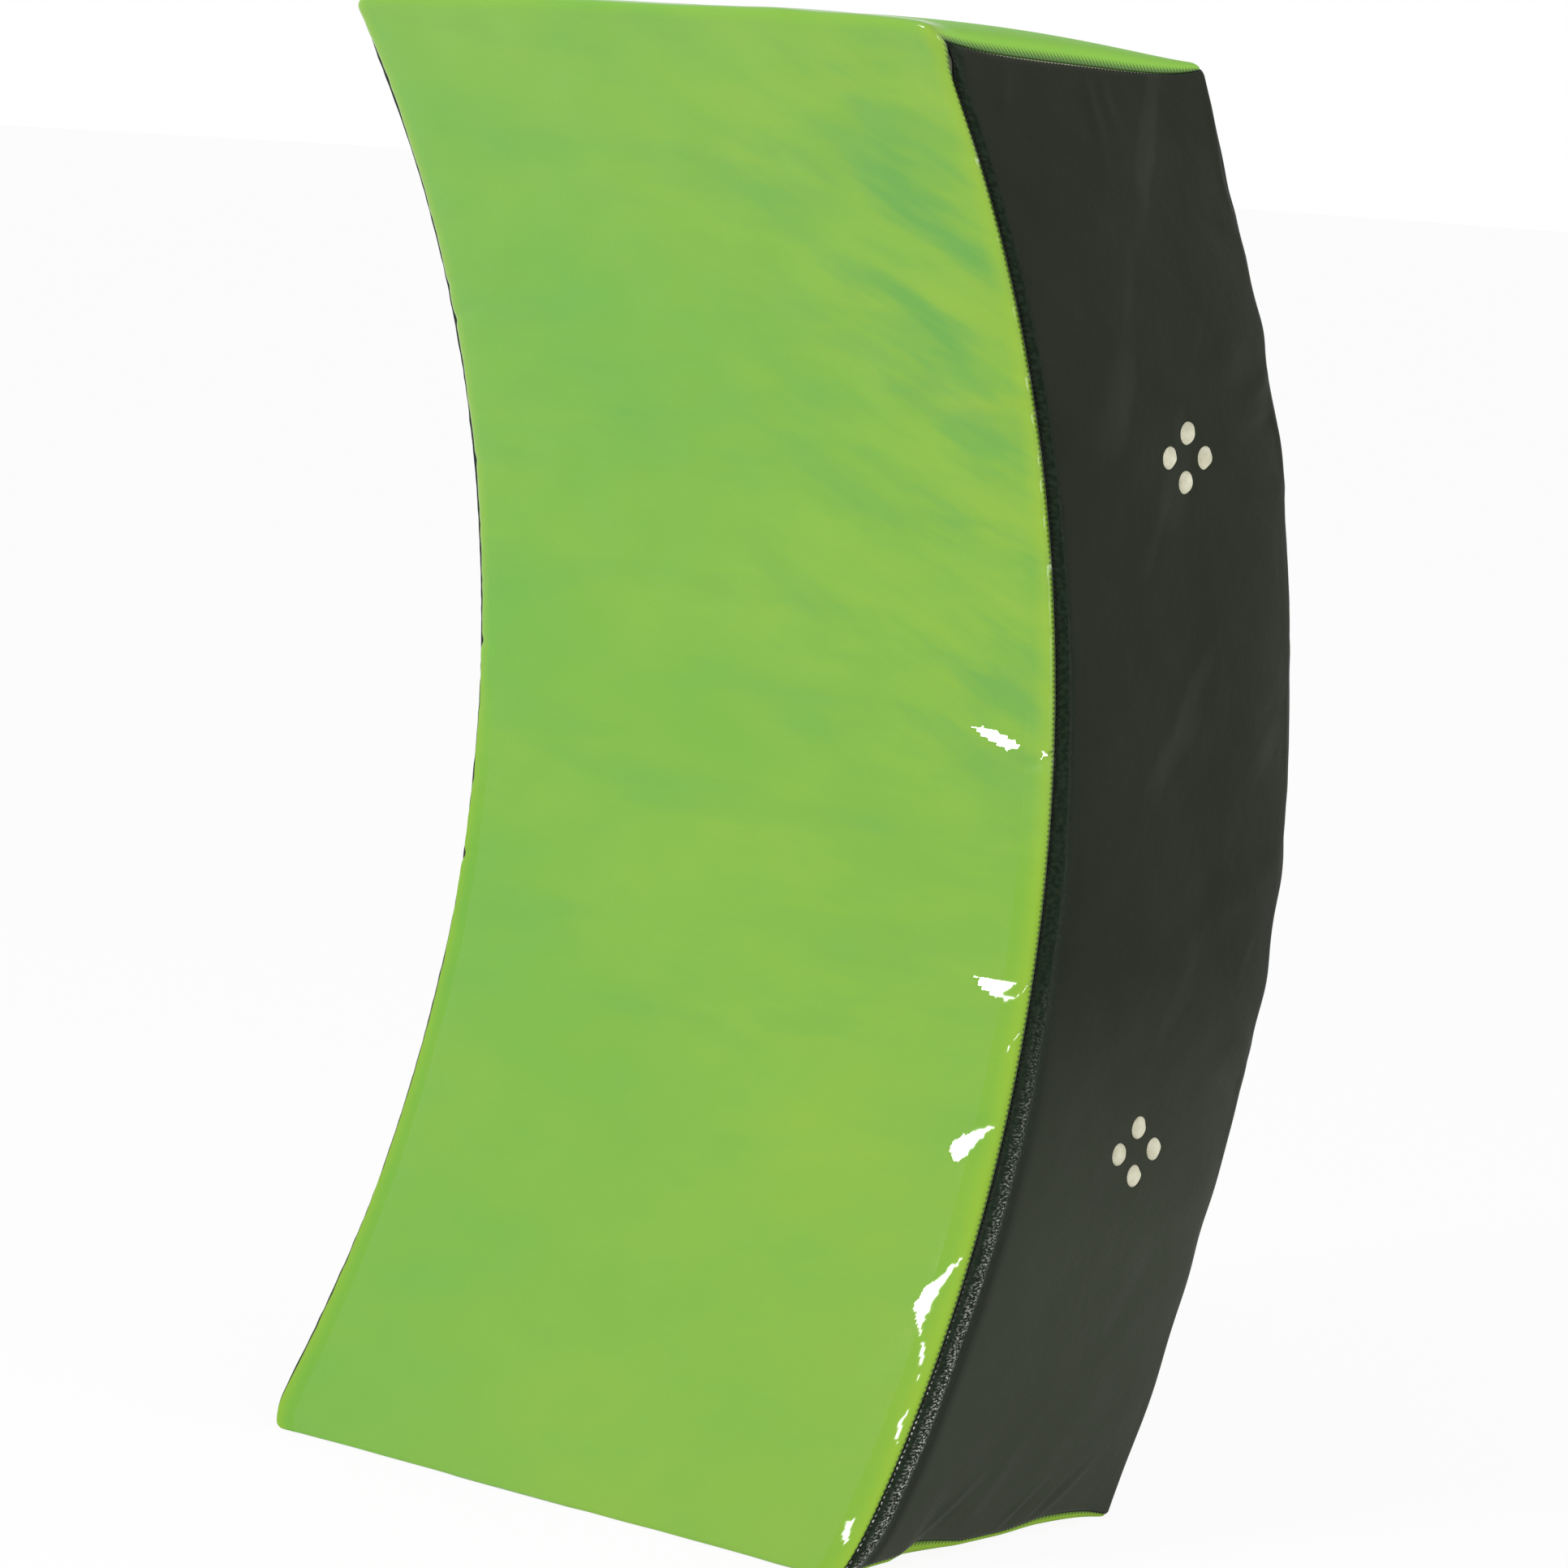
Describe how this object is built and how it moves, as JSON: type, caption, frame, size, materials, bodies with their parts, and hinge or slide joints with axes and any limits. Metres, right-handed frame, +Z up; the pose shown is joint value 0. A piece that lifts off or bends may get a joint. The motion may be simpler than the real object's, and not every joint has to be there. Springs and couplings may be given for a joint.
{
  "type": "tackle wedge",
  "caption": "Tall crescent-shaped foam tackle pad in a sewn vinyl cover, hollow strike face, vented sides, padded arm straps that swing and a zip with a sliding pull.",
  "frame": {"origin": "on the base, on the wedge's mirror plane, straight below the strike face's middle at mid height", "axes": "+Z up along the standing wedge, -Y out of the hollow strike face, +Y out of the rounded back, +X towards the side panel at the right of the picture"},
  "size_m": [0.3838, 0.3589, 0.7076],
  "materials": {
    "green_vinyl": "glossy coated fabric, softly wrinkled",
    "black_vinyl": "satin coated fabric with its weave showing",
    "foam": "open-cell foam",
    "seam": "turned and stitched seam allowance",
    "webbing": "woven polyester",
    "zip_tape": "woven tape",
    "zip_plastic": "moulded teeth",
    "zip_metal": "dark plated zinc"
  },
  "bodies": {
    "pad": {"foam_core": "foam", "face_wrap": "green_vinyl", "back_panel": "black_vinyl", "side_panel_right": "black_vinyl", "side_panel_left": "black_vinyl", "front_seam_roll_right": "seam", "front_seam_roll_left": "seam", "strap_anchor_upper_right": "webbing", "strap_anchor_upper_left": "webbing", "strap_anchor_lower_right": "webbing", "strap_anchor_lower_left": "webbing", "strap_patch_upper_right": "black_vinyl", "strap_patch_upper_left": "black_vinyl", "strap_patch_lower_right": "black_vinyl", "strap_patch_lower_left": "black_vinyl", "zip_teeth_upper": "zip_plastic", "zip_teeth_lower": "zip_plastic", "zip_tape_upper": "zip_tape", "zip_tape_lower": "zip_tape", "zip_stop_right": "zip_metal", "zip_stop_left": "zip_metal"},
    "strap_upper": {"strap_web_upper": "webbing", "strap_pad_upper": "webbing"},
    "strap_lower": {"strap_web_lower": "webbing", "strap_pad_lower": "webbing"},
    "slider": {"zip_slider": "zip_metal"},
    "pull": {"zip_pull": "zip_metal"}
  },
  "joints": [
    {"name": "strap_upper_swing", "type": "hinge", "parent": "pad", "child": "strap_upper", "pos_m": [0, 0.17157, 0.55297], "axis": [1, 0, 0], "range_deg": [-45, 45]},
    {"name": "strap_lower_swing", "type": "hinge", "parent": "pad", "child": "strap_lower", "pos_m": [0, 0.17144, 0.14667], "axis": [1, 0, 0], "range_deg": [-45, 45]},
    {"name": "zip_slide", "type": "slide", "parent": "pad", "child": "slider", "axis": [-1, 0, 0], "range_m": [0, 0.236]},
    {"name": "zip_pull_turn", "type": "hinge", "parent": "slider", "child": "pull", "pos_m": [0.118, 0.11824, 0.64684], "axis": [0, 0.5136, -0.858], "range_deg": [0, 165]}
  ]
}
